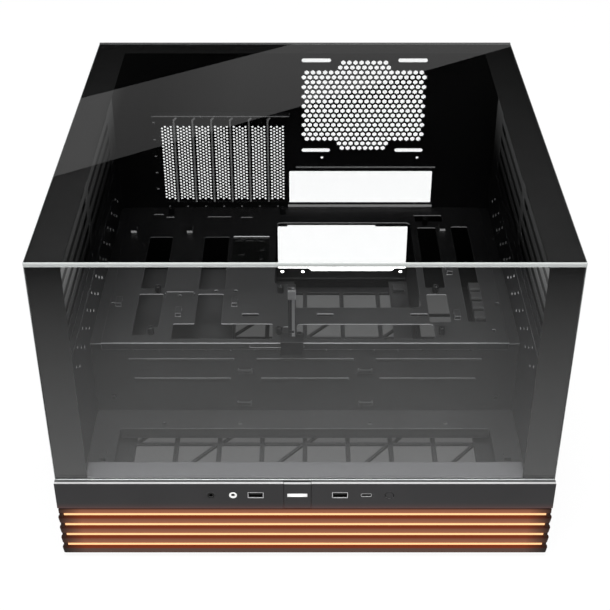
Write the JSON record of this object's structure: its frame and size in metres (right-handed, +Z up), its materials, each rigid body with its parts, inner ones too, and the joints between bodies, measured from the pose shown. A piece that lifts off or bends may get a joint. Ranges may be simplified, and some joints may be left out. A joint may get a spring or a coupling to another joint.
{
  "type": "atx pc case",
  "caption": "Mid-size dual-chamber computer case lying flat, with glass top and front, perforated card slots, control strip and a louvred light band.",
  "frame": {"origin": "centre of the base, at the height of the feet", "axes": "+Z up, front with the control strip faces -Y, +X to the viewer's right"},
  "size_m": [0.4336, 0.438, 0.31],
  "materials": {
    "black_steel": "fine matt black powder coat",
    "panel_steel": "satin black powder coat",
    "filter_plastic": "matt black moulding",
    "filter_mesh": "woven nylon",
    "top_pane": "clear tempered glass, printed black border",
    "front_pane": "clear tempered glass, printed black border",
    "stud_steel": "dull",
    "socket_plastic": "moulded",
    "strip_plastic": "satin dark grey",
    "button_plastic": "satin",
    "button_light": "milky light guide",
    "circuit_board": "solder mask",
    "switch_plastic": "moulded",
    "jack_plastic": "moulded",
    "ring_plastic": "white ring",
    "port_steel": "plated shell",
    "louvre_plastic": "satin black moulding",
    "light_guide": "warm amber light guide",
    "screw_steel": "black zinc",
    "standoff_steel": "black zinc",
    "pad_rubber": "soft",
    "grip_rubber": "soft",
    "foot_rubber": "soft",
    "support_plastic": "satin",
    "support_head": "light grey"
  },
  "bodies": {
    "case": {"rear_panel": "panel_steel", "left_side_frame": "black_steel", "right_side_frame": "black_steel", "left_side_panel": "panel_steel", "right_side_panel": "panel_steel", "left_filter_frame": "filter_plastic", "right_filter_frame": "filter_plastic", "bottom_panel": "panel_steel", "bottom_filter_frame": "filter_plastic", "bottom_filter_mesh": "filter_mesh", "motherboard_tray": "black_steel", "middle_wall": "black_steel", "front_fan_bracket": "black_steel", "front_frame": "black_steel", "front_glass": "front_pane", "front_glass_studs": "stud_steel", "front_glass_sockets": "socket_plastic", "top_glass_sockets": "socket_plastic", "control_strip": "strip_plastic", "control_board": "circuit_board", "button_switches": "switch_plastic", "microphone_jack": "jack_plastic", "headset_jack": "jack_plastic", "headset_ring": "ring_plastic", "usb_socket_left": "port_steel", "usb_socket_right": "port_steel", "usb_c_socket": "port_steel", "louvre_panel": "louvre_plastic", "slot_screws": "screw_steel", "slot_guard_strip": "black_steel", "standoffs": "standoff_steel", "power_supply_support_left": "black_steel", "power_supply_support_right": "black_steel", "power_supply_pads": "pad_rubber", "drive_tray": "black_steel", "hub_board": "circuit_board", "cable_grips": "grip_rubber", "rear_thumbscrews": "screw_steel", "bracket_screws": "screw_steel", "feet": "foot_rubber", "light_bar_1": "light_guide", "light_bar_2": "light_guide", "light_bar_3": "light_guide", "light_bar_4": "light_guide", "slot_cover_1": "panel_steel", "slot_cover_2": "panel_steel", "slot_cover_3": "panel_steel", "slot_cover_4": "panel_steel", "slot_cover_5": "panel_steel", "slot_cover_6": "panel_steel", "slot_cover_7": "panel_steel"},
    "top_cover": {"top_glass": "top_pane", "top_glass_studs": "stud_steel"},
    "card_support": {"card_support_clamp": "support_plastic", "card_support_post": "support_plastic", "card_support_screw": "screw_steel"},
    "card_rest": {"card_support_head": "support_head"},
    "power_key": {"power_button": "button_plastic", "power_button_light": "button_light"},
    "round_key": {"round_button": "button_plastic"}
  },
  "joints": [
    {"name": "top_glass_lift", "type": "slide", "parent": "case", "child": "top_cover", "axis": [0, 0, 1], "range_m": [0, 0.06]},
    {"name": "card_support_slide", "type": "slide", "parent": "case", "child": "card_support", "axis": [1, 0, 0], "range_m": [-0.034, 0.005]},
    {"name": "card_rest_height", "type": "slide", "parent": "card_support", "child": "card_rest", "axis": [0, 0, 1], "range_m": [-0.036, 0.001]},
    {"name": "power_press", "type": "slide", "parent": "case", "child": "power_key", "axis": [0, 1, 0], "range_m": [0, 0.001], "stiffness_N_per_m": 1500, "springref_m": -0.001},
    {"name": "round_press", "type": "slide", "parent": "case", "child": "round_key", "axis": [0, 1, 0], "range_m": [0, 0.001], "stiffness_N_per_m": 1000, "springref_m": -0.001}
  ]
}
